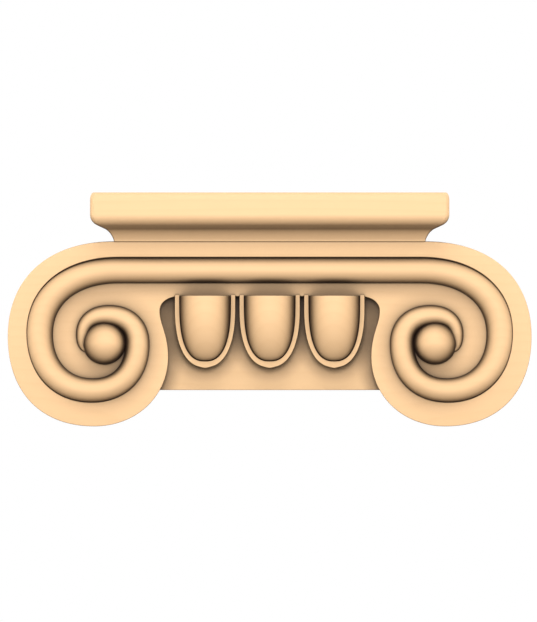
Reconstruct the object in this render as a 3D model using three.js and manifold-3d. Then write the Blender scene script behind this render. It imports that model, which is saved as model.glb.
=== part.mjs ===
// Ionic pilaster capital, carved in one piece of wood.
//
// Units are millimetres. X runs along the face to the right, Z is up and the
// carved front looks along -Y. The origin is below the middle of the block,
// level with the undersides of the two volutes.
//
// The carving is laid out in a relief frame first: x to the right, y up, and
// z forward from the flat back. The finished solid is then stood upright.

import * as THREE from 'three';
import { mergeVertices } from 'three/addons/utils/BufferGeometryUtils.js';
import Module from 'manifold-3d';

// ---------------------------------------------------------------- dimensions

// Levels, measured forward from the flat back.
const neckLevel = 23;
const channelLevel = 33;
const borderLevel = 39;
const frameLevel = 34.2;
const footLevel = 40;

// The abacus: a thick slab on a cavetto.
const capitalHeight = 134;
const abacusHalfWidth = 102.9;
const abacusOverhang = 13.5;
const abacusFootHeight = 105.7;
const abacusCornerRadius = 2.3;
const slabLevel = footLevel + abacusOverhang;
const footHalfWidth = abacusHalfWidth - abacusOverhang;
const footCornerShare = 0.35;
const rootSetBack = 4;
const rootDepth = 6;

// The abacus's moulded edge, as overhangs and heights.
const topEase = 2.4;
const faceEase = 4.8;
const faceFoot = 121.5;
const soffitBend = 117.2;
const soffitEnd = [9.5, 115.2];
const cavettoTop = [4.6, 112.9];
const cavettoBend = [1.7, 111.2];
const cavettoFoot = 106.9;
const footEase = 0.8;

// The scroll body. Each station is a point where the edge runs level or upright.
const bodyTop = 106;
const edgeTop = [-88.9, bodyTop];
const edgeLeft = [-150, 51.5];
const edgeBottom = [-100.6, 0];
const edgeRight = [-58.1, 40];
const edgeWaist = [-62.9, 66.1];
const edgeThroat = [-51.3, 74.4];
const edgeFullness = 0.62;
const innerEdgeFullness = 0.573;
const waistHandles = [0.5, 0.29];

// The quirk between the border and the roll, which spirals in to the eye.
const quirkTop = [-87, 96.6];
const quirkStations = [
  quirkTop,
  [-139.1, 53.55],
  [-101.9, 13.8],
  [-68.8, 47.3],
  [-92.1, 69.5],
  [-110.85, 52.9],
  [-104.8, 42.7],
];
const quirkFullness = 0.6;
// Its depth at each station, and its width where it has no depth and where it is deepest.
const quirkDepths = [1.5, 0.5, 1.2, 1.2, 1.2, 1.2, 1.2];
const quirkWidths = [0.4, 0.8];

// The roll: its section radius and the level of its centre at each station of the quirk.
const rollRadii = [7.8, 9.1, 7, 7, 6.1, 4, 1.2];
const rollLevels = [33.7, 31.7, 33.7, 33.7, 33.7, 33.7, 33.7];
const rollBaseLevel = 28;

// The border falls from its full height to the channel between these stations.
const rampStart = 1;
const rampEnd = 3;

// The eye: a ball half sunk in the channel.
const eyeCentre = [-94.6, 47.7];
const eyeRadius = 12.3;

// The neck panel below the scroll.
const neckBottom = 20.8;
const neckTop = 80;
const neckHalfWidth = 70;

// The eggs: half-round above, rounding off to a blunt point below.
const eggSpacing = 37;
const eggHalfWidth = 14.75;
const eggDepth = 13;
const eggBaseLevel = 31;
const eggTop = 74.9;
const eggShoulder = 69.9;
const eggTip = 36.9;
const eggCrestShoulder = 66.6;
const eggCrestDrop = 29.7;
const eggPower = 2.54;
const eggRowShift = 0.35;
const sunkLevel = 20;

// The frame round each egg.
const frameTop = 75.2;
const frameInner = { halfWidth: 14.7, shoulder: 69.9, tip: 37.3, power: 2.54 };
const frameOuter = { halfWidth: 17.3, shoulder: 67.9, tip: 33.9, power: 2.34 };
const framePoint = 33.45;

// Facets along the curves.
const turnSteps = 10;
const rollFacets = 12;
const eggFacets = 16;
const eggRows = 11;
const cornerFacets = 3;
const quirkFacets = 2;
const profileFacets = 4;
const eyeMeridians = 32;
const eyeParallels = 18;
const mergeDistance = 1e-4;

const wasm = await Module();
wasm.setup();

// ------------------------------------------------------------------- helpers

/** Turn a closed geometry into a solid that can be joined and cut. */
function solidFrom(geometry) {
  geometry.deleteAttribute('normal');
  geometry.deleteAttribute('uv');
  const merged = mergeVertices(geometry, mergeDistance);
  return new wasm.Manifold(new wasm.Mesh({
    numProp: 3,
    vertProperties: new Float32Array(merged.attributes.position.array),
    triVerts: new Uint32Array(merged.index.array),
  }));
}

/** Turn a solid back into a geometry with flat facets. */
function geometryFrom(solid) {
  const mesh = solid.getMesh();
  const geometry = new THREE.BufferGeometry();
  geometry.setAttribute('position', new THREE.BufferAttribute(mesh.vertProperties, 3));
  geometry.setIndex(new THREE.BufferAttribute(mesh.triVerts, 1));
  return geometry;
}

/** Volume inside a closed skin: negative when its faces point inwards. */
function signedVolume(points, triangles) {
  let volume = 0;
  for (let corner = 0; corner < triangles.length; corner += 3) {
    const [a, b, c] = triangles.slice(corner, corner + 3).map((index) => points[index]);
    volume += a.dot(b.clone().cross(c)) / 6;
  }
  return volume;
}

/** Skin a row of matching sections and close both ends. */
function loft(sections) {
  const count = sections[0].length;
  const points = sections.flat();
  const triangles = [];
  for (let row = 0; row < sections.length - 1; row += 1) {
    for (let side = 0; side < count; side += 1) {
      const a = row * count + side;
      const b = row * count + (side + 1) % count;
      triangles.push(a, b, a + count, b, b + count, a + count);
    }
  }
  const last = (sections.length - 1) * count;
  for (let side = 1; side < count - 1; side += 1) {
    triangles.push(0, side + 1, side);
    triangles.push(last, last + side, last + side + 1);
  }
  if (signedVolume(points, triangles) < 0) {
    triangles.reverse();
  }
  const geometry = new THREE.BufferGeometry().setFromPoints(points);
  geometry.setIndex(triangles);
  return geometry;
}

/** A curve that leaves one station level and reaches the next upright, or the other way round. */
function quarterTurn(from, to, startsLevel, fullness) {
  const [dx, dy] = [to[0] - from[0], to[1] - from[1]];
  const start = new THREE.Vector2(...from);
  const end = new THREE.Vector2(...to);
  const first = startsLevel
    ? new THREE.Vector2(from[0] + fullness * dx, from[1])
    : new THREE.Vector2(from[0], from[1] + fullness * dy);
  const second = startsLevel
    ? new THREE.Vector2(to[0], to[1] - fullness * dy)
    : new THREE.Vector2(to[0] - fullness * dx, to[1]);
  return new THREE.CubicBezierCurve(start, first, second, end);
}

/** Quarter turns through all the stations, the first one starting level. */
function spiral(stations, fullness) {
  return stations.slice(1).map((to, index) => (
    quarterTurn(stations[index], to, index % 2 === 0, fullness)
  ));
}

/** Ease from 0 to 1 with level ends. */
function ease(value) {
  return THREE.MathUtils.smoothstep(value, 0, 1);
}

/** Height of the border's face after so many quarter turns. */
function borderHeight(turn) {
  const fall = ease((turn - rampStart) / (rampEnd - rampStart));
  return THREE.MathUtils.lerp(borderLevel, channelLevel, fall);
}

/** A smooth course through the values given at the stations of the quirk. */
function courseThrough(values) {
  const spline = new THREE.SplineCurve(
    values.map((value, index) => new THREE.Vector2(index, value)),
  );
  return (turn) => spline.getPoint(turn / (values.length - 1)).y;
}

/** Radius of the roll after so many quarter turns. */
const rollRadius = courseThrough(rollRadii);

/** Level of the roll's centre after so many quarter turns. */
const rollLevel = courseThrough(rollLevels);

/** Depth of the quirk below the border where that has its full height. */
const quirkDepth = courseThrough(quirkDepths);

/** Depth of the quirk below a face of the border: none where that meets the channel. */
function quirkDrop(turn) {
  const stand = (borderHeight(turn) - channelLevel) / (borderLevel - channelLevel);
  return quirkDepth(turn) * stand;
}

/** Follow a left-hand row of sections with its mirror image. */
function withMirror(leftSections) {
  const right = leftSections.map((section) => (
    section.map((point) => new THREE.Vector3(-point.x, point.y, point.z))
  ));
  return [...leftSections, ...right.reverse()];
}

// --------------------------------------------------------------- the scroll

const outerEdge = spiral([edgeTop, edgeLeft, edgeBottom], edgeFullness);
const innerEdge = quarterTurn(edgeBottom, edgeRight, true, innerEdgeFullness);
const quirk = spiral(quirkStations, quirkFullness);

/** The waist: an S between two upright stations. */
function waistCurve() {
  const rise = edgeWaist[1] - edgeRight[1];
  return new THREE.CubicBezierCurve(
    new THREE.Vector2(...edgeRight),
    new THREE.Vector2(edgeRight[0], edgeRight[1] + waistHandles[0] * rise),
    new THREE.Vector2(edgeWaist[0], edgeWaist[1] - waistHandles[1] * rise),
    new THREE.Vector2(...edgeWaist),
  );
}

/** Outline of the whole scroll body, volutes and bridge. */
function scrollOutline() {
  const curves = [
    ...outerEdge,
    innerEdge,
    waistCurve(),
    quarterTurn(edgeWaist, edgeThroat, false, quirkFullness),
  ];
  const left = curves.flatMap((curve) => curve.getPoints(turnSteps).slice(1));
  left.unshift(new THREE.Vector2(...edgeTop));
  const right = left.map((point) => new THREE.Vector2(-point.x, point.y)).reverse();
  return [...left, ...right];
}

/** Everything down to the floor of the channel. */
function scrollBody() {
  return new THREE.ExtrudeGeometry(new THREE.Shape(scrollOutline()), {
    depth: channelLevel,
    bevelEnabled: false,
  });
}

/** A station on the quirk with the direction that leads in to the roll. */
function quirkStation(turn) {
  const index = Math.min(Math.floor(turn), quirk.length - 1);
  const at = turn - index;
  const point = quirk[index].getPoint(at);
  const tangent = quirk[index].getTangent(at);
  return { point, inward: new THREE.Vector2(-tangent.y, tangent.x) };
}

/** Centre line of the roll: its side meets the border at the bottom of the quirk. */
function rollStation(turn) {
  const { point, inward } = quirkStation(turn);
  const radius = rollRadius(turn);
  const rise = borderHeight(turn) - quirkDrop(turn) - rollLevel(turn);
  const inset = Math.sqrt(Math.max(radius * radius - rise * rise, 0));
  return { centre: point.clone().addScaledVector(inward, inset), inward, radius };
}

/** The raised border, from the middle of the face down round the volute. */
function border() {
  const edge = [...outerEdge, innerEdge];
  const sections = [];
  for (let step = rampEnd * turnSteps; step >= 0; step -= 1) {
    const turn = step / turnSteps;
    const index = Math.min(Math.floor(turn), rampEnd - 1);
    const outside = edge[index].getPoint(turn - index);
    const { point } = quirkStation(turn);
    const { centre } = rollStation(turn);
    sections.push(borderSection(turn, outside, point, centre));
  }
  return loft(withMirror(sections));
}

/** An upright slice through the border: its face, the side of the quirk and a foot under the roll. */
function borderSection(turn, outside, bottom, inside) {
  const at = (point, level) => new THREE.Vector3(point.x, point.y, level);
  const outwards = outside.clone().sub(bottom).normalize();
  const height = borderHeight(turn);
  const drop = quirkDrop(turn);
  const width = THREE.MathUtils.lerp(...quirkWidths, drop / quirkDepths[0]);
  const section = [at(outside, 0), at(outside, height)];
  for (let facet = 0; facet <= quirkFacets; facet += 1) {
    const angle = (facet / quirkFacets) * Math.PI / 2;
    const setBack = width * (1 - Math.sin(angle));
    const point = bottom.clone().addScaledVector(outwards, setBack);
    section.push(at(point, height - drop * (1 - Math.cos(angle))));
  }
  section.push(at(inside, height - drop), at(inside, 0));
  return section;
}

/** The roll, along the top and in round both volutes to its tails. */
function roll() {
  const sections = [];
  for (let step = quirk.length * turnSteps; step >= 0; step -= 1) {
    sections.push(rollSection(step / turnSteps));
  }
  return loft(withMirror(sections));
}

/** A half-round slice through the roll, with its foot sunk in the floor. */
function rollSection(turn) {
  const { centre, inward, radius } = rollStation(turn);
  const at = (across, level) => new THREE.Vector3(
    centre.x + inward.x * across,
    centre.y + inward.y * across,
    level,
  );
  const section = [at(-radius, rollBaseLevel)];
  for (let facet = 0; facet <= rollFacets; facet += 1) {
    const angle = Math.PI * (1 - facet / rollFacets);
    section.push(at(radius * Math.cos(angle), rollLevel(turn) + radius * Math.sin(angle)));
  }
  section.push(at(radius, rollBaseLevel));
  return section;
}

/** The eye of one volute. */
function eye(side) {
  const ball = new THREE.SphereGeometry(eyeRadius, eyeMeridians, eyeParallels);
  ball.rotateX(Math.PI / 2);
  ball.translate(-side * eyeCentre[0], eyeCentre[1], channelLevel);
  return ball;
}

// ----------------------------------------------------------- neck and eggs

/** The flat panel behind the eggs. */
function neckPanel() {
  const height = neckTop - neckBottom;
  const panel = new THREE.BoxGeometry(2 * neckHalfWidth, height, neckLevel);
  panel.translate(0, neckBottom + height / 2, neckLevel / 2);
  return panel;
}

/** Half-width of a blunt-pointed outline at a height. */
function bluntHalfWidth(outline, height) {
  const down = Math.max(outline.shoulder - height, 0) / (outline.shoulder - outline.tip);
  return outline.halfWidth * (1 - Math.min(down, 1) ** outline.power) ** (1 / outline.power);
}

/** Points down the left side of a blunt-pointed outline, to its tip. */
function bluntSide(outline, top) {
  const points = [new THREE.Vector2(-outline.halfWidth, top)];
  for (let row = 0; row <= eggRows; row += 1) {
    const down = Math.sin((row / eggRows) * Math.PI / 2);
    const height = THREE.MathUtils.lerp(outline.shoulder, outline.tip, down);
    points.push(new THREE.Vector2(-bluntHalfWidth(outline, height), height));
  }
  return points;
}

/** One egg. */
function egg(centreX) {
  const outline = {
    halfWidth: eggHalfWidth, shoulder: eggShoulder, tip: eggTip, power: eggPower,
  };
  const sections = [eggSection(centreX, eggTop, eggHalfWidth, eggDepth)];
  for (let row = 0; row < eggRows; row += 1) {
    const down = Math.sin(((row + eggRowShift) / eggRows) * Math.PI / 2);
    const height = THREE.MathUtils.lerp(eggShoulder, eggTip, down);
    const drop = Math.max(eggCrestShoulder - height, 0) / eggCrestDrop;
    const crest = eggDepth * Math.sqrt(Math.max(1 - drop * drop, 0));
    sections.push(eggSection(centreX, height, bluntHalfWidth(outline, height), crest));
  }
  return loft(sections);
}

/** A level slice through an egg. */
function eggSection(centreX, height, halfWidth, crest) {
  const section = [new THREE.Vector3(centreX - halfWidth, height, sunkLevel)];
  for (let facet = 0; facet <= eggFacets; facet += 1) {
    const angle = Math.PI * (1 - facet / eggFacets);
    section.push(new THREE.Vector3(
      centreX + halfWidth * Math.cos(angle),
      height,
      eggBaseLevel + crest * Math.sin(angle),
    ));
  }
  section.push(new THREE.Vector3(centreX + halfWidth, height, sunkLevel));
  return section;
}

/** The flat band round one egg, open at the top and drawn to a point below. */
function eggFrame(centreX) {
  const outer = bluntSide(frameOuter, frameTop);
  outer[outer.length - 1].y = framePoint;
  const inner = bluntSide(frameInner, frameTop);
  const mirrored = (points) => points
    .map((point) => new THREE.Vector2(-point.x, point.y))
    .reverse();
  const ring = [
    ...outer,
    ...mirrored(outer).slice(1),
    ...[...inner, ...mirrored(inner).slice(1)].reverse(),
  ];
  const band = new THREE.ExtrudeGeometry(new THREE.Shape(ring), {
    depth: frameLevel - sunkLevel,
    bevelEnabled: false,
  });
  band.translate(centreX, 0, sunkLevel);
  return band;
}

// ---------------------------------------------------------------- abacus

/** Overhang and height down the abacus's moulded edge, from its top. */
function abacusProfile() {
  const overhang = abacusOverhang;
  const edge = new THREE.Path();
  edge.moveTo(overhang - topEase, capitalHeight);
  edge.quadraticCurveTo(overhang, capitalHeight, overhang, capitalHeight - faceEase);
  edge.lineTo(overhang, faceFoot);
  edge.quadraticCurveTo(overhang, soffitBend, ...soffitEnd);
  edge.lineTo(...cavettoTop);
  edge.quadraticCurveTo(...cavettoBend, 0, cavettoFoot);
  edge.quadraticCurveTo(0, abacusFootHeight, -footEase, abacusFootHeight);
  return edge.getPoints(profileFacets);
}

/** A level slice through the abacus: square at the back, eased at the front. */
function abacusSection(overhang, height) {
  const halfWidth = footHalfWidth + overhang;
  const front = footLevel + overhang;
  const share = Math.max(overhang, 0) / abacusOverhang;
  const radius = abacusCornerRadius * THREE.MathUtils.lerp(footCornerShare, 1, share);
  const section = [new THREE.Vector3(-halfWidth, height, 0)];
  for (const side of [-1, 1]) {
    for (let facet = 0; facet <= cornerFacets; facet += 1) {
      const swing = (facet / cornerFacets) * Math.PI / 2;
      const angle = side < 0 ? Math.PI - swing : Math.PI / 2 - swing;
      section.push(new THREE.Vector3(
        side * (halfWidth - radius) + radius * Math.cos(angle),
        height,
        front - radius + radius * Math.sin(angle),
      ));
    }
  }
  section.push(new THREE.Vector3(halfWidth, height, 0));
  return section;
}

/** The abacus, with a root that runs down into the scroll body. */
function abacus() {
  const sections = abacusProfile().map((point) => abacusSection(point.x, point.y));
  sections.push(abacusSection(-rootSetBack, abacusFootHeight));
  sections.push(abacusSection(-rootSetBack, abacusFootHeight - rootDepth));
  return loft(sections);
}

// ------------------------------------------------------------- the capital

/** Every carved form joined into one block. */
function capitalSolid() {
  const forms = [scrollBody(), border(), roll(), eye(-1), eye(1), neckPanel(), abacus()];
  for (const place of [-1, 0, 1]) {
    forms.push(egg(place * eggSpacing));
    forms.push(eggFrame(place * eggSpacing));
  }
  return forms
    .map((form) => solidFrom(form))
    .reduce((block, form) => block.add(form));
}

const capital = new THREE.Mesh(
  geometryFrom(capitalSolid()),
  new THREE.MeshStandardMaterial({ color: 0xf0cf9e, roughness: 0.62, metalness: 0 }),
);
capital.name = 'capital';
capital.rotation.x = Math.PI / 2;
capital.position.y = slabLevel / 2;

const group = new THREE.Group();
group.add(capital);

export default group;
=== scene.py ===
"""Looks of a carved wooden Ionic pilaster capital.

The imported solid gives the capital's place and size. What is seen is carved
again here at full fineness and replaces that solid: the same forms, with
smooth curves and eased arrises, joined into one block.

The carving is laid out in a relief frame, in millimetres of the capital's
design size: x to the right, y up, and z forward from the flat back. One
mapping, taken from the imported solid's box, stands it up in the row frame.
"""

import logging
import math
from collections.abc import Sequence
from dataclasses import dataclass, field
from enum import Enum

import bmesh
import bpy
from mathutils import Matrix, Vector


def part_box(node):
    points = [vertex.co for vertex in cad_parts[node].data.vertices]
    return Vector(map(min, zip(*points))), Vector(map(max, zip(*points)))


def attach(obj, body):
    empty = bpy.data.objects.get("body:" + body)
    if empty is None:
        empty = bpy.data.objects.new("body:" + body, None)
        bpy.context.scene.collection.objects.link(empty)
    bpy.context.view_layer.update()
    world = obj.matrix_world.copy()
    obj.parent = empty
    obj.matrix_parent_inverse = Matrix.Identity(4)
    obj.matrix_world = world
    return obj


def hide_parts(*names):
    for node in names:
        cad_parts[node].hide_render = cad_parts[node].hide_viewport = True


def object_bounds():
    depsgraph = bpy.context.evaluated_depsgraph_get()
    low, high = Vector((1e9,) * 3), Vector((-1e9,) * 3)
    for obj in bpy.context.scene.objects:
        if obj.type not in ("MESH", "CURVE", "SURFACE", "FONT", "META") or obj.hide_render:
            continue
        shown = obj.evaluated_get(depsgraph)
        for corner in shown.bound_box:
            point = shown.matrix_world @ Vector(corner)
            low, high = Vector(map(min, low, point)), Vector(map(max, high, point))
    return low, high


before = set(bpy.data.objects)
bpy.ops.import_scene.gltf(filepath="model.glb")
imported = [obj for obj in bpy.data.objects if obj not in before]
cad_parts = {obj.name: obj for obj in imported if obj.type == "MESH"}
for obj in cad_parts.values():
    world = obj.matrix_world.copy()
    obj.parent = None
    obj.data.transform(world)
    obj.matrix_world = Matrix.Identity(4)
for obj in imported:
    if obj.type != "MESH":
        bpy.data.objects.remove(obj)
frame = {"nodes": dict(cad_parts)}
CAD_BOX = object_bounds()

LOG = logging.getLogger("capital")

NODE = "capital"
DESIGN_WIDTH = 300.0
QUARTER = math.pi / 2

# Sockets of the colour mix node, whose names repeat.
MIX_COLOURS = (6, 7)
MIX_RESULT = 2

Section = list[Vector]
Station = tuple[float, float]
Colour = tuple[float, float, float, float]


# ------------------------------------------------------------ frame and curves


@dataclass(frozen=True)
class ReliefFrame:
    """Where the relief frame stands in the row frame, in metres.

    The middle is across the row frame, the back is its depth, the base is its
    height, and the unit is the length of one design millimetre.
    """

    middle: float
    back: float
    base: float
    unit: float

    @classmethod
    def from_node(cls, node: str) -> "ReliefFrame":
        """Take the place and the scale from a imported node.

        Args:
            node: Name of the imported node.

        Returns:
            The relief frame that matches that node.
        """
        low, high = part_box(node)
        return cls(
            middle=(low.x + high.x) / 2,
            back=high.y,
            base=low.z,
            unit=(high.x - low.x) / DESIGN_WIDTH,
        )

    def matrix(self) -> Matrix:
        """Return the matrix from the relief frame to the row frame."""
        place = Matrix.Translation((self.middle, self.back, self.base))
        return place @ Matrix.Rotation(QUARTER, 4, "X") @ Matrix.Scale(self.unit, 4)


class Start(Enum):
    """The way a quarter turn leaves its first station."""

    LEVEL = "level"
    UPRIGHT = "upright"

    def other(self) -> "Start":
        """Return the direction that the turn ends in."""
        return Start.UPRIGHT if self is Start.LEVEL else Start.LEVEL


@dataclass(frozen=True)
class Curve:
    """A cubic stretch of an outline, with a handle at each end."""

    start: Vector
    first: Vector
    second: Vector
    end: Vector

    def point(self, at: float) -> Vector:
        """Return the point at a share of the stretch."""
        left = 1 - at
        return (
            left**3 * self.start
            + 3 * left**2 * at * self.first
            + 3 * left * at**2 * self.second
            + at**3 * self.end
        )

    def tangent(self, at: float) -> Vector:
        """Return the unit direction at a share of the stretch."""
        left = 1 - at
        slope = (
            left**2 * (self.first - self.start)
            + 2 * left * at * (self.second - self.first)
            + at**2 * (self.end - self.second)
        )
        return slope.normalized()


def quarter_turn(start: Station, end: Station, leaves: Start, fullness: float) -> Curve:
    """Curve between a level and an upright station.

    Args:
        start: First station.
        end: Second station.
        leaves: Direction at the first station.
        fullness: How far the handles reach, as a share of the turn's box.

    Returns:
        The curve.
    """
    across, rise = end[0] - start[0], end[1] - start[1]
    if leaves is Start.LEVEL:
        first = (start[0] + fullness * across, start[1])
        second = (end[0], end[1] - fullness * rise)
    else:
        first = (start[0], start[1] + fullness * rise)
        second = (end[0] - fullness * across, end[1])
    return Curve(Vector(start), Vector(first), Vector(second), Vector(end))


def winding(stations: Sequence[Station], fullness: float) -> list[Curve]:
    """Wind through all the stations, the first quarter turn starting level.

    Args:
        stations: The stations, alternately level and upright.
        fullness: How far the handles reach, as a share of each turn's box.

    Returns:
        The quarter turns, in order.
    """
    turns = []
    leaves = Start.LEVEL
    for start, end in zip(stations, stations[1:]):
        turns.append(quarter_turn(start, end, leaves, fullness))
        leaves = leaves.other()
    return turns


def along(turns: Sequence[Curve], turn: float) -> tuple[Vector, Vector]:
    """Find a place on a row of quarter turns.

    Args:
        turns: The quarter turns.
        turn: Number of quarter turns from the start.

    Returns:
        The point and the unit direction there.
    """
    index = min(int(turn), len(turns) - 1)
    return turns[index].point(turn - index), turns[index].tangent(turn - index)


def ease(value: float) -> float:
    """Return a value held between 0 and 1, with level ends."""
    held = min(max(value, 0.0), 1.0)
    return held * held * (3 - 2 * held)


def mix(low: float, high: float, share: float) -> float:
    """Return the value at a share of the way from low to high."""
    return low + (high - low) * share


def smooth_through(values: Sequence[float], at: float) -> float:
    """Read a smooth curve through evenly spaced values.

    Args:
        values: The values, one apart.
        at: Place to read, counted from the first value.

    Returns:
        The value of the curve there.
    """
    index = min(int(at), len(values) - 2)
    share = at - index
    before = values[max(index - 1, 0)]
    low, high = values[index], values[index + 1]
    after = values[min(index + 2, len(values) - 1)]
    lead, trail = (high - before) / 2, (after - low) / 2
    return (
        low
        + lead * share
        + (3 * (high - low) - 2 * lead - trail) * share**2
        + (2 * (low - high) + lead + trail) * share**3
    )


def arc(steps: int) -> list[tuple[float, float]]:
    """Return cosine and sine over a quarter circle, in equal steps."""
    angles = (QUARTER * step / steps for step in range(steps + 1))
    return [(math.cos(angle), math.sin(angle)) for angle in angles]


# --------------------------------------------------------------- making meshes


def raised(point: Vector, level: float) -> Vector:
    """Return a flat point lifted to a level."""
    return Vector((point.x, point.y, level))


def mirrored(sections: Sequence[Section]) -> list[Section]:
    """Follow a left-hand row of sections with its mirror image."""
    right = [[Vector((-p.x, p.y, p.z)) for p in section] for section in sections]
    return [*sections, *reversed(right)]


def loft(name: str, sections: Sequence[Section]) -> bpy.types.Object:
    """Skin a row of matching sections and close both ends.

    Args:
        name: Name of the new object.
        sections: Closed outlines with the same number of points.

    Returns:
        The closed form.
    """
    shape = bmesh.new()
    rows = [[shape.verts.new(point) for point in section] for section in sections]
    for row, following in zip(rows, rows[1:]):
        for side in range(len(row)):
            after = (side + 1) % len(row)
            shape.faces.new((row[side], row[after], following[after], following[side]))
    shape.faces.new(list(reversed(rows[0])))
    shape.faces.new(rows[-1])
    return form_from(name, shape)


def form_from(name: str, shape: bmesh.types.BMesh) -> bpy.types.Object:
    """Finish a mesh, with its faces outwards, and link it as an object.

    Args:
        name: Name of the new object.
        shape: The mesh, which is freed.

    Returns:
        The new object.
    """
    bmesh.ops.recalc_face_normals(shape, faces=shape.faces)
    mesh = bpy.data.meshes.new(name)
    shape.to_mesh(mesh)
    shape.free()
    form = bpy.data.objects.new(name, mesh)
    bpy.context.scene.collection.objects.link(form)
    return form


def settle(form: bpy.types.Object) -> None:
    """Apply an object's modifiers to its mesh.

    Args:
        form: The object, whose old mesh is removed.
    """
    depsgraph = bpy.context.evaluated_depsgraph_get()
    old = form.data
    finished = bpy.data.meshes.new_from_object(form.evaluated_get(depsgraph))
    form.modifiers.clear()
    form.data = finished
    finished.name = form.name
    bpy.data.meshes.remove(old)


def join(block: bpy.types.Object, form: bpy.types.Object) -> None:
    """Join a closed form to the block.

    Args:
        block: The block, which grows.
        form: The closed form, which is removed.
    """
    union = block.modifiers.new("join", "BOOLEAN")
    union.operation = "UNION"
    union.solver = "MANIFOLD"
    union.object = form
    settle(block)
    mesh = form.data
    bpy.data.objects.remove(form)
    bpy.data.meshes.remove(mesh)


# ------------------------------------------------------------------ the scroll


@dataclass(frozen=True)
class Levels:
    """Heights of the carving's faces, forward from the flat back."""

    neck: float = 23.0
    channel: float = 33.0
    border: float = 39.0
    frame: float = 34.2
    foot: float = 40.0


@dataclass(frozen=True)
class Arris:
    """How much an edge is eased, and in how many facets."""

    radius: float = 0.45
    steps: int = 4

    def curve(self) -> list[tuple[float, float]]:
        """Return each facet's set-back and height below the face, from the wall up."""
        return [
            (self.radius * (1 - cosine), self.radius * (1 - sine))
            for cosine, sine in arc(self.steps)
        ]


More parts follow.
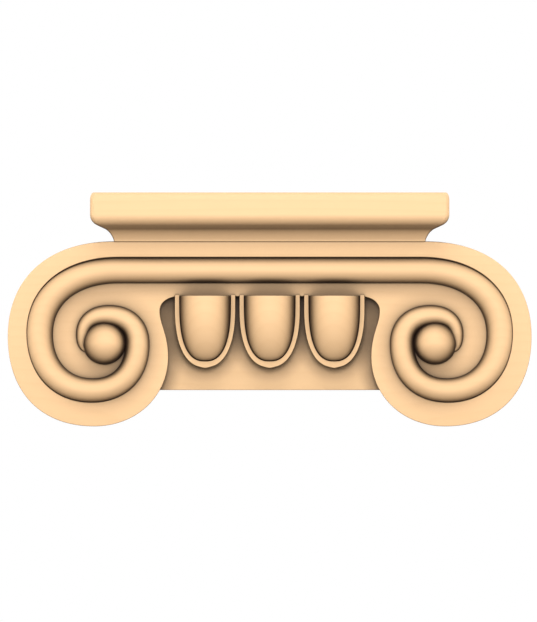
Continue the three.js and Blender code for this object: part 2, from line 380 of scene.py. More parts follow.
@dataclass
class Scroll:
    """The scroll body, its raised border, the roll and the two eyes.

    Stations are the level and upright points of the left half's curves. The
    roll's and the quirk's values are given at each station of the quirk.
    """

    levels: Levels
    arris: Arris
    edge_stations: tuple[Station, ...] = ((-88.9, 106.0), (-150.0, 51.5), (-100.6, 0.0))
    edge_fullness: float = 0.62
    inner_station: Station = (-58.1, 40.0)
    inner_fullness: float = 0.573
    waist_station: Station = (-62.9, 66.1)
    waist_handles: tuple[float, float] = (0.5, 0.29)
    throat_station: Station = (-51.3, 74.4)
    quirk_stations: tuple[Station, ...] = (
        (-87.0, 96.6),
        (-139.1, 53.55),
        (-101.9, 13.8),
        (-68.8, 47.3),
        (-92.1, 69.5),
        (-110.85, 52.9),
        (-104.8, 42.7),
    )
    quirk_fullness: float = 0.6
    roll_radii: tuple[float, ...] = (7.8, 9.1, 7.0, 7.0, 6.1, 4.0, 1.2)
    roll_levels: tuple[float, ...] = (33.7, 31.7, 33.7, 33.7, 33.7, 33.7, 33.7)
    roll_base_level: float = 28.0
    ramp_start: float = 1.0
    ramp_end: int = 3
    quirk_depths: tuple[float, ...] = (1.5, 0.5, 1.2, 1.2, 1.2, 1.2, 1.2)
    quirk_widths: tuple[float, float] = (0.4, 0.8)
    quirk_steps: int = 6
    eye_centre: Station = (-94.6, 47.7)
    eye_radius: float = 12.3
    eye_divisions: int = 6
    turn_steps: int = 44
    roll_facets: int = 44
    edge: list[Curve] = field(init=False)
    quirk: list[Curve] = field(init=False)

    def __post_init__(self) -> None:
        """Work out the edge's and the quirk's curves from their stations."""
        self.edge = winding(self.edge_stations, self.edge_fullness)
        bottom = self.edge_stations[-1]
        inner = quarter_turn(bottom, self.inner_station, Start.LEVEL, self.inner_fullness)
        self.edge.append(inner)
        self.quirk = winding(self.quirk_stations, self.quirk_fullness)

    def forms(self) -> list[bpy.types.Object]:
        """Return the closed forms of the scroll, the body first."""
        return [self.body(), self.border(), self.roll(), self.eye(-1), self.eye(1)]

    def waist(self) -> Curve:
        """Return the S between the volute's right side and the throat."""
        low, high = self.inner_station, self.waist_station
        rise = high[1] - low[1]
        return Curve(
            Vector(low),
            Vector((low[0], low[1] + self.waist_handles[0] * rise)),
            Vector((high[0], high[1] - self.waist_handles[1] * rise)),
            Vector(high),
        )

    def outline(self) -> list[Vector]:
        """Return the outline of the whole scroll body."""
        throat = quarter_turn(
            self.waist_station, self.throat_station, Start.UPRIGHT, self.quirk_fullness
        )
        left = [Vector(self.edge_stations[0])]
        for curve in [*self.edge, self.waist(), throat]:
            steps = range(1, self.turn_steps + 1)
            left.extend(curve.point(step / self.turn_steps) for step in steps)
        right = [Vector((-point.x, point.y)) for point in reversed(left)]
        return left + right

    def body(self) -> bpy.types.Object:
        """Return everything down to the floor of the channel."""
        outline = self.outline()
        inward = []
        for index, point in enumerate(outline):
            ahead = outline[(index + 1) % len(outline)]
            chord = ahead - outline[index - 1]
            inward.append(Vector((-chord.y, chord.x)).normalized())
        eased = self.arris.curve()
        rings = list(reversed(eased))
        rings.extend((set_back, self.levels.channel - below) for set_back, below in eased)
        sections = []
        for set_back, level in rings:
            ring = (point + lead * set_back for point, lead in zip(outline, inward))
            sections.append([raised(point, level) for point in ring])
        return loft("scroll_body", sections)

    def border_height(self, turn: float) -> float:
        """Return the border's level, which falls to the channel's as it winds in."""
        fall = ease((turn - self.ramp_start) / (self.ramp_end - self.ramp_start))
        return mix(self.levels.border, self.levels.channel, fall)

    def quirk_drop(self, turn: float) -> float:
        """Return the quirk's depth below the border's face, none where that is low."""
        levels = self.levels
        stand = self.border_height(turn) - levels.channel
        depth = smooth_through(self.quirk_depths, turn)
        return depth * stand / (levels.border - levels.channel)

    def roll_level(self, turn: float) -> float:
        """Return the level of the roll's centre line."""
        return smooth_through(self.roll_levels, turn)

    def roll_station(self, turn: float) -> tuple[Vector, Vector, float]:
        """Find the roll's centre line, which meets the border at the quirk's bottom.

        Args:
            turn: Number of quarter turns along the quirk.

        Returns:
            The centre, the direction across the roll and the roll's radius.
        """
        point, tangent = along(self.quirk, turn)
        inward = Vector((-tangent.y, tangent.x))
        radius = smooth_through(self.roll_radii, turn)
        rise = self.border_height(turn) - self.quirk_drop(turn) - self.roll_level(turn)
        inset = math.sqrt(max(radius**2 - rise**2, 0.0))
        return point + inward * inset, inward, radius

    def border(self) -> bpy.types.Object:
        """Return the raised border, from mid-face round both volutes."""
        sections = []
        for step in range(self.ramp_end * self.turn_steps, -1, -1):
            turn = step / self.turn_steps
            outside, _ = along(self.edge, turn)
            quirk, _ = along(self.quirk, turn)
            centre, _, _ = self.roll_station(turn)
            sections.append(self.border_section(turn, outside, quirk, centre))
        return loft("scroll_border", mirrored(sections))

    def border_section(
        self, turn: float, outside: Vector, quirk: Vector, inside: Vector
    ) -> Section:
        """Return an upright slice through the border, with its arrises eased.

        Args:
            turn: Number of quarter turns along the quirk.
            outside: Point on the edge of the scroll.
            quirk: Point at the bottom of the quirk beside the roll.
            inside: Point under the roll.

        Returns:
            The slice, from the back's arris up the wall, in over the face and
            down into the quirk.
        """
        lead = (quirk - outside).normalized()
        height = self.border_height(turn)
        drop = self.quirk_drop(turn)
        width = mix(*self.quirk_widths, drop / self.quirk_depths[0])
        section = []
        for set_back, below in reversed(self.arris.curve()):
            section.append((outside + lead * set_back, below))
        for set_back, below in self.arris.curve():
            section.append((outside + lead * set_back, height - below))
        for cosine, sine in reversed(arc(self.quirk_steps)):
            set_back = width * (1 - cosine)
            section.append((quirk - lead * set_back, height - drop * (1 - sine)))
        section.append((inside, height - drop))
        section.append((inside, 0.0))
        return [raised(point, level) for point, level in section]

    def roll(self) -> bpy.types.Object:
        """Return the roll, along the top and in round both volutes to its tails."""
        sections = []
        for step in range(len(self.quirk) * self.turn_steps, -1, -1):
            sections.append(self.roll_section(step / self.turn_steps))
        return loft("scroll_roll", mirrored(sections))

    def roll_section(self, turn: float) -> Section:
        """Return a half-round slice through the roll, with its foot sunk.

        Args:
            turn: Number of quarter turns along the quirk.

        Returns:
            The slice, from the border's side over the crest to the channel's.
        """
        centre, inward, radius = self.roll_station(turn)
        section = [(-radius, self.roll_base_level)]
        for facet in range(self.roll_facets + 1):
            angle = math.pi * (1 - facet / self.roll_facets)
            level = self.roll_level(turn) + radius * math.sin(angle)
            section.append((radius * math.cos(angle), level))
        section.append((radius, self.roll_base_level))
        return [raised(centre + inward * across, level) for across, level in section]

    def eye(self, side: int) -> bpy.types.Object:
        """Return one volute's eye, a ball half sunk in the channel.

        Args:
            side: -1 for the left volute, 1 for the right one.

        Returns:
            The ball.
        """
        ball = bmesh.new()
        bmesh.ops.create_icosphere(
            ball, subdivisions=self.eye_divisions, radius=self.eye_radius
        )
        centre = (-side * self.eye_centre[0], self.eye_centre[1], self.levels.channel)
        bmesh.ops.translate(ball, vec=centre, verts=ball.verts)
        return form_from("scroll_eye", ball)


# --------------------------------------------------------------- neck and eggs


@dataclass
class NeckPanel:
    """The flat panel behind the eggs, cut off level below."""

    levels: Levels
    arris: Arris
    bottom: float = 20.8
    top: float = 80.0
    half_width: float = 70.0

    def forms(self) -> list[bpy.types.Object]:
        """Return the panel as one closed form."""
        edge = reversed(self.arris.curve())
        slices = [(set_back, self.bottom + below) for set_back, below in edge]
        slices.append((0.0, self.top))
        sections = []
        for set_back, height in slices:
            back, front = set_back, self.levels.neck - set_back
            sections.append([
                Vector((-self.half_width, height, back)),
                Vector((-self.half_width, height, front)),
                Vector((self.half_width, height, front)),
                Vector((self.half_width, height, back)),
            ])
        return [loft("neck_panel", sections)]


@dataclass(frozen=True)
class BluntOutline:
    """An outline that runs straight down to a shoulder and rounds to a blunt tip."""

    half_width: float
    shoulder: float
    tip: float
    power: float

    def width_at(self, height: float) -> float:
        """Return the half-width at a height."""
        down = max(self.shoulder - height, 0.0) / (self.shoulder - self.tip)
        return self.half_width * (1 - min(down, 1.0) ** self.power) ** (1 / self.power)

    def height_at(self, row: float) -> float:
        """Return the height at a share of the way from the shoulder to the tip."""
        return mix(self.shoulder, self.tip, math.sin(row * QUARTER))


@dataclass
class EggBand:
    """A row of eggs, each in a flat frame that is open above.

    An egg's crest keeps its full depth down to its shoulder and then falls off
    over its drop. The last row of the egg stops just short of the tip.
    """

    levels: Levels
    arris: Arris
    places: tuple[int, ...] = (-1, 0, 1)
    spacing: float = 37.0
    egg: BluntOutline = BluntOutline(half_width=14.75, shoulder=69.9, tip=36.9, power=2.54)
    egg_depth: float = 13.0
    egg_base_level: float = 31.0
    egg_top: float = 74.9
    crest_shoulder: float = 66.6
    crest_drop: float = 29.7
    last_row: float = 0.985
    inner: BluntOutline = BluntOutline(half_width=14.7, shoulder=69.9, tip=37.3, power=2.54)
    outer: BluntOutline = BluntOutline(half_width=17.3, shoulder=67.9, tip=33.9, power=2.34)
    frame_top: float = 75.2
    point_drop: float = 0.45
    point_reach: float = 3.4
    sunk_level: float = 20.0
    facets: int = 64
    rows: int = 44

    def forms(self) -> list[bpy.types.Object]:
        """Return the closed forms of every egg and its frame."""
        made = []
        for place in self.places:
            centre = place * self.spacing
            made.extend([self.make_egg(centre), self.make_frame(centre)])
        return made

    def make_egg(self, centre: float) -> bpy.types.Object:
        """Return one egg: half-round above, rounding off to its tip.

        Args:
            centre: Where the egg's middle is, along the face.

        Returns:
            The egg, with its foot sunk in the block.
        """
        slices = []
        for set_back, below in reversed(self.arris.curve()):
            width = self.egg.half_width - set_back
            slices.append((self.egg_top - below, width, self.egg_depth - set_back))
        for row in range(self.rows + 1):
            height = self.egg.height_at(self.last_row * row / self.rows)
            drop = max(self.crest_shoulder - height, 0.0) / self.crest_drop
            crest = self.egg_depth * math.sqrt(max(1 - drop**2, 0.0))
            slices.append((height, self.egg.width_at(height), crest))
        return loft("egg", [self.egg_section(centre, *size) for size in slices])

    def egg_section(
        self, centre: float, height: float, half_width: float, crest: float
    ) -> Section:
        """Return a level slice through an egg.

        Args:
            centre: Where the egg's middle is, along the face.
            height: Height of the slice.
            half_width: Half the egg's width there.
            crest: How far the egg rises over its base level there.

        Returns:
            The slice, from its sunk left foot over the crest to the right.
        """
        section = [Vector((centre - half_width, height, self.sunk_level))]
        for facet in range(self.facets + 1):
            angle = math.pi * (1 - facet / self.facets)
            section.append(Vector((
                centre + half_width * math.cos(angle),
                height,
                self.egg_base_level + crest * math.sin(angle),
            )))
        section.append(Vector((centre + half_width, height, self.sunk_level)))
        return section

    def side(self, outline: BluntOutline, drop: float) -> list[Vector]:
        """Return the left side of a frame's outline, from its top to its tip.

        Args:
            outline: The outline to follow.
            drop: How far the tip is drawn down to a point.

        Returns:
            The points of that side.
        """
        points = [Vector((-outline.half_width, self.frame_top))]
        for row in range(self.rows + 1):
            height = outline.height_at(row / self.rows)
            width = outline.width_at(height)
            near = max(1 - width / self.point_reach, 0.0)
            points.append(Vector((-width, height - drop * near)))
        return points

    def make_frame(self, centre: float) -> bpy.types.Object:
        """Return the flat band round one egg.

        Args:
            centre: Where the egg's middle is, along the face.

        Returns:
            The band, open above, with its foot sunk in the block.
        """
        outside = self.side(self.outer, self.point_drop)
        inside = self.side(self.inner, 0.0)
        sections = []
        for outer, inner in zip(outside, inside):
            sections.append(self.frame_section(outer, inner))
        whole = sections + mirrored(sections)[len(sections) + 1:]
        move = Vector((centre, 0, 0))
        return loft("egg_frame", [[point + move for point in part] for part in whole])

    def frame_section(self, outer: Vector, inner: Vector) -> Section:
        """Return a slice through the band, with its front arrises eased.

        Args:
            outer: Point on the band's outer outline.
            inner: Point on its inner outline.

        Returns:
            The slice, from the outer foot over the face to the inner foot.
        """
        lead = (inner - outer).normalized()
        section = [(outer, self.sunk_level)]
        for set_back, below in self.arris.curve():
            section.append((outer + lead * set_back, self.levels.frame - below))
        for set_back, below in reversed(self.arris.curve()):
            section.append((inner - lead * set_back, self.levels.frame - below))
        section.append((inner, self.sunk_level))
        return [raised(point, level) for point, level in section]


# ------------------------------------------------------------------ the abacus


@dataclass
class Abacus:
    """The thick slab on its cavetto, with a root sunk in the scroll body."""

    levels: Levels
    top: float = 134.0
    foot_half_width: float = 89.4
    overhang: float = 13.5
    foot_height: float = 105.7
    foot_ease: float = 0.8
    cavetto_top: Station = (4.6, 112.9)
    cavetto_bend: Station = (1.7, 111.2)
    cavetto_foot: float = 106.9
    soffit_end: Station = (9.5, 115.2)
    soffit_bend: float = 117.2
    face_foot: float = 121.5
    face_ease: float = 4.8
    top_ease: float = 2.4
    corner_radius: float = 2.3
    foot_corner_share: float = 0.35
    root_set_back: float = 4.0
    root_depth: float = 6.0
    curve_steps: int = 12
    corner_steps: int = 8

    def bend(self, start: Station, middle: Station, end: Station) -> list[Station]:
        """Return points along a single bend.

        Args:
            start: Where the bend starts.
            middle: The point that both its ends head for.
            end: Where it ends.

        Returns:
            The points, with both ends.
        """
        points = []
        for step in range(self.curve_steps + 1):
            at = step / self.curve_steps
            weights = ((1 - at) ** 2, 2 * at * (1 - at), at**2)
            parts = list(zip(weights, (start, middle, end)))
            points.append((
                sum(weight * part[0] for weight, part in parts),
                sum(weight * part[1] for weight, part in parts),
            ))
        return points

    def profile(self) -> list[Station]:
        """Return overhang and height down the moulded edge, from its top."""
        out = self.overhang
        foot = (-self.foot_ease, self.foot_height)
        return [
            *self.bend(
                (out - self.top_ease, self.top), (out, self.top), (out, self.top - self.face_ease)
            ),
            *self.bend((out, self.face_foot), (out, self.soffit_bend), self.soffit_end),
            *self.bend(self.cavetto_top, self.cavetto_bend, (0.0, self.cavetto_foot)),
            *self.bend((0.0, self.cavetto_foot), (0.0, self.foot_height), foot)[1:],
            (-self.root_set_back, self.foot_height),
            (-self.root_set_back, self.foot_height - self.root_depth),
        ]

    def section(self, overhang: float, height: float) -> Section:
        """Return a level slice: square at the back, its front corners eased.

        Args:
            overhang: How far the slice stands out past the foot.
            height: Height of the slice.

        Returns:
            The slice, from its back left corner round the front.
        """
        half_width = self.foot_half_width + overhang
        front = self.levels.foot + overhang
        share = mix(self.foot_corner_share, 1.0, max(overhang, 0.0) / self.overhang)
        radius = self.corner_radius * share
        slice_points = [Vector((-half_width, height, 0))]
        for cosine, sine in arc(self.corner_steps):
            across = half_width - radius * (1 - cosine)
            slice_points.append(Vector((-across, height, front - radius * (1 - sine))))
        for cosine, sine in reversed(arc(self.corner_steps)):
            across = half_width - radius * (1 - cosine)
            slice_points.append(Vector((across, height, front - radius * (1 - sine))))
        slice_points.append(Vector((half_width, height, 0)))
        return slice_points

    def forms(self) -> list[bpy.types.Object]:
        """Return the abacus as one closed form."""
        return [loft("abacus", [self.section(*place) for place in self.profile()])]


# ------------------------------------------------------------------- finishes


@dataclass
class NodeBoard:
    """A small helper that adds and wires shader nodes."""

    tree: bpy.types.NodeTree

    def add(self, kind: str, **settings: object) -> bpy.types.Node:
        """Add a node.

        Args:
            kind: The node's type.
            settings: Its properties and their values.

        Returns:
            The new node.
        """
        node = self.tree.nodes.new(kind)
        for name, value in settings.items():
            setattr(node, name, value)
        return node

    def wire(self, source: bpy.types.NodeSocket, target: bpy.types.NodeSocket) -> None:
        """Join an output to an input."""
        self.tree.links.new(source, target)

    def math(self, operation: str, first: object, second: object = 0.0) -> bpy.types.NodeSocket:
        """Add a math node.

        Args:
            operation: What the node works out.
            first: A socket or a number.
            second: A socket or a number.

        Returns:
            The node's output.
        """
        node = self.add("ShaderNodeMath", operation=operation)
        for socket, value in zip(node.inputs, (first, second)):
            if isinstance(value, bpy.types.NodeSocket):
                self.wire(value, socket)
            else:
                socket.default_value = value
        return node.outputs[0]

    def blend(
        self, share: bpy.types.NodeSocket, low: object, high: object
    ) -> bpy.types.NodeSocket:
        """Add a colour mix.

        Args:
            share: How much of the high colour there is.
            low: A socket or a colour.
            high: A socket or a colour.

        Returns:
            The mixed colour.
        """
        node = self.add("ShaderNodeMix", data_type="RGBA")
        self.wire(share, node.inputs["Factor"])
        for index, value in zip(MIX_COLOURS, (low, high)):
            socket = node.inputs[index]
            if isinstance(value, bpy.types.NodeSocket):
                self.wire(value, socket)
            else:
                socket.default_value = value
        return node.outputs[MIX_RESULT]


def new_group(name: str, inputs: dict[str, float], outputs: Sequence[str]) -> NodeBoard:
    """Start a shader node group of plain numbers.

    Args:
        name: Name of the group.
        inputs: Each input's name and usual value.
        outputs: Names of the outputs.

    Returns:
        The board of the new group, with its two end nodes in place.
    """
    tree = bpy.data.node_groups.new(name, "ShaderNodeTree")
    for label, usual in inputs.items():
        socket = tree.interface.new_socket(
            name=label, in_out="INPUT", socket_type="NodeSocketFloat"
        )
        socket.default_value = usual
    for label in outputs:
        tree.interface.new_socket(
            name=label, in_out="OUTPUT", socket_type="NodeSocketFloat"
        )
    board = NodeBoard(tree)
    board.add("NodeGroupInput", name="Input")
    board.add("NodeGroupOutput", name="Output")
    return board


@dataclass(frozen=True)
class PlankGrain:
    """The grain of a plank that lies along X: growth rings and fine fibres."""

    name: str = "plank_grain"
    ring_spacing: float = 0.0035
    waviness: float = 0.35
    fibre_scale: float = 900.0
    pith_depth: float = 0.16
    pith_height: float = 0.05
    wander_stretch: tuple[float, float, float] = (2.2, 9.0, 9.0)
    wander_scale: float = 1.0
    wander_detail: float = 2.0
    wander_reach: float = 0.08
    late_power: float = 3.0
    early_fall: float = 8.0
    fibre_stretch: tuple[float, float, float] = (0.03, 1.0, 1.0)
    fibre_detail: float = 3.0
    ring_dip: float = 0.3

    def make(self) -> bpy.types.NodeTree:
        """Build the node group.

        Returns:
            The group, whose outputs are masks of the rings and the fibres, and
            the height of the surface.
        """
        inputs = {
            "Ring Spacing": self.ring_spacing,
            "Waviness": self.waviness,
            "Fibre Scale": self.fibre_scale,
        }
        board = new_group(self.name, inputs, ("Rings", "Fibre", "Height"))
        ends = board.tree.nodes
        given, result = ends["Input"].outputs, ends["Output"].inputs
        place = board.add("ShaderNodeTexCoord").outputs["Object"]
        rings = self.rings(board, place, given)
        fibre = self.fibre(board, place, given)
        board.wire(rings, result["Rings"])
        board.wire(fibre, result["Fibre"])
        dip = board.math("MULTIPLY", rings, self.ring_dip)
        board.wire(board.math("SUBTRACT", fibre, dip), result["Height"])
        return board.tree

    def rings(
        self,
        board: NodeBoard,
        place: bpy.types.NodeSocket,
        given: bpy.types.NodeOutputs,
    ) -> bpy.types.NodeSocket:
        """Add the growth rings, which go round a wandering pith.

        Args:
            board: The group's board.
            place: Where on the plank the surface is.
            given: The group's inputs.

        Returns:
            A mask of the late wood.
        """
        stretch = board.add("ShaderNodeMapping")
        stretch.inputs["Scale"].default_value = self.wander_stretch
        board.wire(place, stretch.inputs["Vector"])
        wander = board.add("ShaderNodeTexNoise")
        wander.inputs["Scale"].default_value = self.wander_scale
        wander.inputs["Detail"].default_value = self.wander_detail
        board.wire(stretch.outputs[0], wander.inputs["Vector"])

        split = board.add("ShaderNodeSeparateXYZ")
        board.wire(place, split.inputs[0])
        depth = board.math("ADD", split.outputs["Y"], self.pith_depth)
        height = board.math("ADD", split.outputs["Z"], self.pith_height)
        squares = [board.math("MULTIPLY", side, side) for side in (depth, height)]
        pith = board.math("SQRT", board.math("ADD", *squares))
        reach = board.math("MULTIPLY", given["Waviness"], self.wander_reach)
        drift = board.math("MULTIPLY", wander.outputs[0], reach)
        count = board.math("DIVIDE", board.math("ADD", pith, drift), given["Ring Spacing"])

        ring = board.math("FRACT", count)
        late = board.math("POWER", ring, self.late_power)
        left = board.math("MULTIPLY", board.math("SUBTRACT", 1.0, ring), self.early_fall)
        return board.math("MULTIPLY", late, board.math("SMOOTH_MIN", left, 1.0))

    def fibre(
        self,
        board: NodeBoard,
        place: bpy.types.NodeSocket,
        given: bpy.types.NodeOutputs,
    ) -> bpy.types.NodeSocket:
        """Add the fibres, drawn out along the plank.

        Args:
            board: The group's board.
            place: Where on the plank the surface is.
            given: The group's inputs.

        Returns:
            A mask of the fibres.
        """
        strands = board.add("ShaderNodeMapping")
        strands.inputs["Scale"].default_value = self.fibre_stretch
        board.wire(place, strands.inputs["Vector"])
        fibre = board.add("ShaderNodeTexNoise")
        fibre.inputs["Detail"].default_value = self.fibre_detail
        board.wire(strands.outputs[0], fibre.inputs["Vector"])
        board.wire(given["Fibre Scale"], fibre.inputs["Scale"])
        return fibre.outputs[0]


@dataclass(frozen=True)
class PaintedHollowShade:
    """Painted shade in recesses, on their steep sides and on undersides, where shade falls.

    A reach is how far a wall still makes a recess, in metres. A depth is how strongly the painted shade
    darkens the surface there: in wide recesses, in fine ones, more on their steep sides, and on
    undersides.
    """

    name: str = "painted_hollow_shade"
    wide_reach: float = 0.04
    wide_depth: float = 0.25
    fine_reach: float = 0.01
    fine_depth: float = 1.6
    steep_depth: float = 6.5
    underside_depth: float = 0.45
    samples: int = 12

    def make(self) -> bpy.types.NodeTree:
        """Build the node group.

        Returns:
            The group, whose output is a mask of painted shade: 1 in the open and 0 deep down.
        """
        inputs = {
            "Wide Reach": self.wide_reach,
            "Wide Depth": self.wide_depth,
            "Fine Reach": self.fine_reach,
            "Fine Depth": self.fine_depth,
            "Steep Depth": self.steep_depth,
            "Underside Depth": self.underside_depth,
        }
        board = new_group(self.name, inputs, ("Open",))
        ends = board.tree.nodes
        given, result = ends["Input"].outputs, ends["Output"].inputs
        facing = board.add("ShaderNodeSeparateXYZ")
        board.wire(board.add("ShaderNodeTexCoord").outputs["Normal"], facing.inputs[0])
        # Painted shade bites harder on steep sides, which turn away from the front.
        steep = board.math("SUBTRACT", 1.0, board.math("ABSOLUTE", facing.outputs["Y"]))
        held = board.math("MULTIPLY", steep, given["Steep Depth"])
        depths = {
            "Wide Reach": board.math("ADD", held, given["Wide Depth"]),
            "Fine Reach": given["Fine Depth"],
        }
        shares = []
        for reach, depth in depths.items():
            probe = board.add("ShaderNodeAmbientOcclusion", samples=self.samples, only_local=True)
            board.wire(given[reach], probe.inputs["Distance"])
            shares.append(board.math("POWER", probe.outputs["AO"], depth))
        clear = board.math("MULTIPLY", *shares)
        # Painted shade on undersides, which face down, away from the light above.
        down = board.math("MAXIMUM", board.math("MULTIPLY", facing.outputs["Z"], -1.0), 0.0)
        dull = board.math("MULTIPLY", down, given["Underside Depth"])
        lit = board.math("SUBTRACT", 1.0, dull)
        board.wire(board.math("MULTIPLY", clear, lit), result["Open"])
        return board.tree


@dataclass(frozen=True)
class CarvedWood:
    """Pale close-grained wood, carved, sanded and sealed with a thin wax. Its colour is darkened with
    painted shade in recesses, on steep sides and on undersides.
    """

    name: str = "carved_pale_wood"
    heart: Colour = (0.53, 0.345, 0.185, 1.0)
    ring: Colour = (0.49, 0.31, 0.157, 1.0)
    # Painted shade colour, laid in recesses, on steep sides and on undersides.
    painted_shade: Colour = (0.018, 0.008, 0.003, 1.0)
    ring_share: float = 0.35
    fibre_share: float = 0.22
    roughness: float = 0.62
    roughness_change: float = 0.1
    specular: float = 0.2
    bump: float = 0.04
    bump_distance: float = 0.0002

    def make(self, grain: bpy.types.NodeTree, painted_shade: bpy.types.NodeTree) -> bpy.types.Material:
        """Build the material.

        Args:
            grain: The plank grain group.
            painted_shade: The group of painted shade in recesses.

        Returns:
            The finished material.
        """
        material = bpy.data.materials.new(self.name)
        material.use_nodes = True
        board = NodeBoard(material.node_tree)
        surface = board.tree.nodes["Principled BSDF"]
        surface.inputs["Specular IOR Level"].default_value = self.specular

        figure = board.add("ShaderNodeGroup", node_tree=grain)
        shade = board.add("ShaderNodeGroup", node_tree=painted_shade)
        ring = board.math("MULTIPLY", figure.outputs["Rings"], self.ring_share)
        fibre = board.math("MULTIPLY", figure.outputs["Fibre"], self.fibre_share)
        streak = board.math("ADD", ring, fibre)
        wood = board.blend(streak, self.heart, self.ring)
        # Painted shade: the wood colour is mixed towards the painted shade colour where the mask falls.
        colour = board.blend(shade.outputs["Open"], self.painted_shade, wood)
        board.wire(colour, surface.inputs["Base Color"])

        dull = board.math("MULTIPLY", figure.outputs["Fibre"], self.roughness_change)
        board.wire(board.math("ADD", dull, self.roughness), surface.inputs["Roughness"])
        relief = board.add("ShaderNodeBump")
        relief.inputs["Strength"].default_value = self.bump
        relief.inputs["Distance"].default_value = self.bump_distance
        board.wire(figure.outputs["Height"], relief.inputs["Height"])
        board.wire(relief.outputs[0], surface.inputs["Normal"])
        return material


@dataclass(frozen=True)
class StudioPaper:
    """The pale paper of the studio floor."""

    name: str = "studio_paper"
    tone: Colour = (0.45, 0.45, 0.45, 1.0)
    roughness: float = 0.9

    def make(self) -> bpy.types.Material:
        """Build the material."""
        material = bpy.data.materials.new(self.name)
        material.use_nodes = True
        surface = material.node_tree.nodes["Principled BSDF"]
        surface.inputs["Base Color"].default_value = self.tone
        surface.inputs["Roughness"].default_value = self.roughness
        return material


# ----------------------------------------------------------------- the capital


@dataclass
class Capital:
    """The carved block: all the forms joined, smoothed and dressed."""

    relief: ReliefFrame
    levels: Levels = Levels()
    arris: Arris = Arris()
    fine_arris: Arris = Arris(radius=0.3, steps=3)
    crease: float = math.radians(32)
    piece_name: str = "carved_capital"

    def carve(self) -> bpy.types.Object:
        """Carve the block and stand it in the row frame.

        Returns:
            The finished block, with no material yet.
        """
        parts = {
            "scroll": Scroll(self.levels, self.arris).forms,
            "neck panel": NeckPanel(self.levels, self.arris).forms,
            "eggs and frames": EggBand(self.levels, self.fine_arris).forms,
            "abacus": Abacus(self.levels).forms,
        }
        block = None
        for label, forms in parts.items():
            for form in forms():
                if block is None:
                    block = form
                else:
                    join(block, form)
            LOG.info("%s joined: %d faces", label, len(block.data.polygons))
        block.name = self.piece_name
        block.data.name = self.piece_name
        block.data.transform(self.relief.matrix())
        self.smooth(block)
        return block

    def smooth(self, block: bpy.types.Object) -> None:
        """Shade the curves smooth and keep the creases sharp.

        Args:
            block: The carved block.
        """
        mesh = block.data
        mesh.polygons.foreach_set("use_smooth", [True] * len(mesh.polygons))
        mesh.set_sharp_from_angle(angle=self.crease)
        weighted = block.modifiers.new("even_shading", "WEIGHTED_NORMAL")
        weighted.keep_sharp = True
        settle(block)

    def dress(self, block: bpy.types.Object, wood: bpy.types.Material) -> None:
        """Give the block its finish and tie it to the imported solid.

        Args:
            block: The carved block.
            wood: Its finish.
        """
        block.data.materials.clear()
        block.data.materials.append(wood)
        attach(block, "root")
        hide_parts(NODE)
        LOG.info("%s dressed: %d faces", block.name, len(block.data.polygons))


# ------------------------------------------------------------------ the studio


@dataclass(frozen=True)
class SoftLamp:
    """A broad lamp that faces the capital.

    Its azimuth is 0 in front of the carved face and grows to the right. Both
    angles are in degrees, lengths in metres and the power in watts.
    """

    name: str
    azimuth: float
    elevation: float
    distance: float
    size: tuple[float, float]
    power: float

    def hang(self, aim: Vector) -> None:
        """Hang the lamp so that it faces a point.

        Args:
            aim: The point.
        """
        azimuth, elevation = math.radians(self.azimuth), math.radians(self.elevation)
        light = bpy.data.lights.new(self.name, "AREA")
        light.shape = "RECTANGLE"
        light.size, light.size_y = self.size
        light.energy = self.power
        lamp = bpy.data.objects.new(self.name, light)
        away = Vector((
            math.sin(azimuth) * math.cos(elevation),
            -math.cos(azimuth) * math.cos(elevation),
            math.sin(elevation),
        ))
        lamp.location = aim + away * self.distance
        lamp.rotation_euler = away.to_track_quat("Z", "Y").to_euler()
        bpy.context.scene.collection.objects.link(lamp)


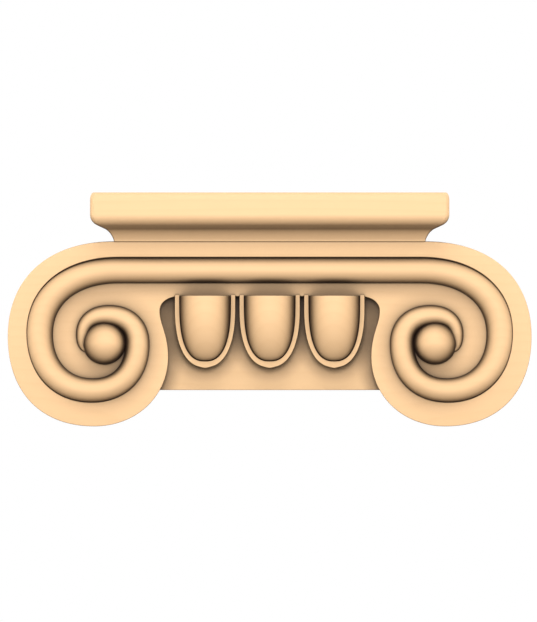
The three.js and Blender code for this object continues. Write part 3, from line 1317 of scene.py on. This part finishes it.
@dataclass
class Studio:
    """Floor, light and camera round the capital.

    The capital takes a share of the picture's width, and its middle is off the
    picture's by shares of the picture's height.
    """

    low: Vector
    high: Vector
    picture: tuple[int, int] = (537, 622)
    width_share: float = 0.9755
    side_shift: float = -0.0019
    height_shift: float = -0.0026
    camera_distance: float = 1.5
    floor_half_size: float = 6.0
    lamps: tuple[SoftLamp, ...] = (
        SoftLamp("front_lamp", azimuth=0, elevation=10, distance=1.6, size=(0.5, 0.5), power=34.5),
        SoftLamp("top_lamp", azimuth=0, elevation=60, distance=1.5, size=(1.0, 0.7), power=17.5),
        SoftLamp("left_back_lamp", azimuth=-125, elevation=30, distance=1.6, size=(1.2, 1.0), power=34),
        SoftLamp("right_back_lamp", azimuth=125, elevation=30, distance=1.6, size=(1.2, 1.0), power=34),
    )
    sky_strength: float = 0.05
    sky_seen: float = 1.0

    def centre(self) -> Vector:
        """Return the middle of the capital's box."""
        return (self.low + self.high) / 2

    def build(self) -> None:
        """Build everything round the capital."""
        self.floor()
        for lamp in self.lamps:
            lamp.hang(self.centre())
        self.sky()
        self.camera()
        bpy.context.scene.view_settings.view_transform = "Standard"
        LOG.info("studio built")

    def floor(self) -> None:
        """Lay the pale floor that the capital stands on."""
        sheet = bmesh.new()
        bmesh.ops.create_grid(sheet, x_segments=1, y_segments=1, size=self.floor_half_size)
        bmesh.ops.translate(sheet, vec=(0, 0, self.low.z), verts=sheet.verts)
        floor = form_from("studio_floor", sheet)
        floor.data.materials.append(StudioPaper().make())

    def sky(self) -> None:
        """Fill the room with even white light, and show it as plain white."""
        world = bpy.data.worlds.new("studio_sky")
        bpy.context.scene.world = world
        world.use_nodes = True
        board = NodeBoard(world.node_tree)
        glow = board.tree.nodes["Background"]
        seen = board.add("ShaderNodeLightPath").outputs["Is Camera Ray"]
        share = board.math("MULTIPLY", seen, self.sky_seen - self.sky_strength)
        board.wire(board.math("ADD", share, self.sky_strength), glow.inputs["Strength"])
        glow.inputs["Color"].default_value = (1.0, 1.0, 1.0, 1.0)

    def camera(self) -> None:
        """Look straight on at the carved face, without perspective."""
        lens = bpy.data.cameras.new("front_camera")
        lens.type = "ORTHO"
        across, tall = self.picture
        shown = (self.high.x - self.low.x) / self.width_share * tall / across
        lens.ortho_scale = shown
        camera = bpy.data.objects.new("front_camera", lens)
        shift = Vector((self.side_shift * shown, -self.camera_distance, self.height_shift * shown))
        camera.location = self.centre() + shift
        camera.rotation_euler = (QUARTER, 0, 0)
        bpy.context.scene.collection.objects.link(camera)
        bpy.context.scene.camera = camera


def main() -> None:
    """Carve and dress the capital, then set up the studio round it."""
    logging.basicConfig(level=logging.INFO, format="%(name)s: %(message)s")
    wood = CarvedWood().make(PlankGrain().make(), PaintedHollowShade().make())
    capital = Capital(ReliefFrame.from_node(NODE))
    capital.dress(capital.carve(), wood)
    Studio(*CAD_BOX).build()


if __name__ == "__main__":
    main()
